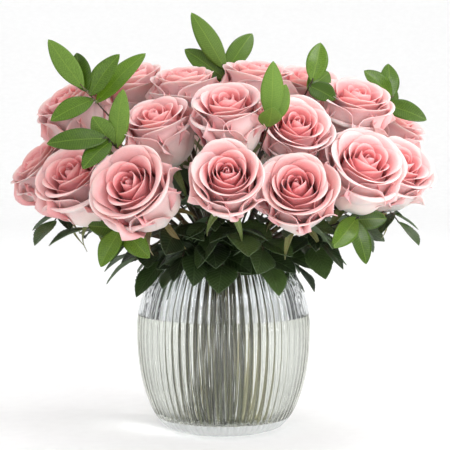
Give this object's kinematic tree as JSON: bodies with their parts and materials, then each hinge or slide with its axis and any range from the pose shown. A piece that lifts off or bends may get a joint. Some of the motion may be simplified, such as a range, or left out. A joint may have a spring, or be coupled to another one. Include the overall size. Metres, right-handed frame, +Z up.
{
  "type": "roses in a glass vase",
  "caption": "Domed bouquet of pink roses with glossy leaf sprigs and dark rose leaves, standing in water in a ribbed, barrel-shaped clear glass vase.",
  "frame": {"origin": "centre of the vase's flat base, on the surface it stands on", "axes": "+Z up along the vase's axis, -Y towards the side the bouquet faces, +X to its right"},
  "size_m": [0.3645, 0.3144, 0.3743],
  "materials": {
    "ribbed_glass": "clear pressed glass with vertical ribs and a thick base",
    "water": "clear water with a faint yellow-green tint",
    "rose_petals": "soft matte pink petals, deeper in the folds and creamy white on the outer backs",
    "rose_stems": "dark green stems and rose leaves with a slight sheen",
    "greenery": "glossy bright green leaves"
  },
  "bodies": {
    "root": {"vase": "ribbed_glass", "water": "water", "rose_bloom_01": "rose_petals", "rose_bloom_02": "rose_petals", "rose_bloom_03": "rose_petals", "rose_bloom_04": "rose_petals", "rose_bloom_05": "rose_petals", "rose_bloom_06": "rose_petals", "rose_bloom_07": "rose_petals", "rose_bloom_08": "rose_petals", "rose_bloom_09": "rose_petals", "rose_bloom_10": "rose_petals", "rose_bloom_11": "rose_petals", "rose_bloom_12": "rose_petals", "rose_bloom_13": "rose_petals", "rose_bloom_14": "rose_petals", "rose_bloom_15": "rose_petals", "rose_bloom_16": "rose_petals", "rose_bloom_17": "rose_petals", "rose_bloom_18": "rose_petals", "rose_bloom_19": "rose_petals", "rose_bloom_20": "rose_petals", "rose_bloom_21": "rose_petals", "rose_bloom_22": "rose_petals", "rose_bloom_23": "rose_petals", "rose_bloom_24": "rose_petals", "rose_stem_01": "rose_stems", "rose_stem_02": "rose_stems", "rose_stem_03": "rose_stems", "rose_stem_04": "rose_stems", "rose_stem_05": "rose_stems", "rose_stem_06": "rose_stems", "rose_stem_07": "rose_stems", "rose_stem_08": "rose_stems", "rose_stem_09": "rose_stems", "rose_stem_10": "rose_stems", "rose_stem_11": "rose_stems", "rose_stem_12": "rose_stems", "rose_stem_13": "rose_stems", "rose_stem_14": "rose_stems", "rose_stem_15": "rose_stems", "rose_stem_16": "rose_stems", "rose_stem_17": "rose_stems", "rose_stem_18": "rose_stems", "rose_stem_19": "rose_stems", "rose_stem_20": "rose_stems", "rose_stem_21": "rose_stems", "rose_stem_22": "rose_stems", "rose_stem_23": "rose_stems", "rose_stem_24": "rose_stems", "greenery_sprig_01": "greenery", "greenery_sprig_02": "greenery", "greenery_sprig_03": "greenery", "greenery_sprig_04": "greenery", "greenery_sprig_05": "greenery", "greenery_sprig_06": "greenery", "greenery_sprig_07": "greenery", "greenery_sprig_08": "greenery", "greenery_sprig_09": "greenery", "greenery_sprig_10": "greenery"}
  },
  "joints": []
}
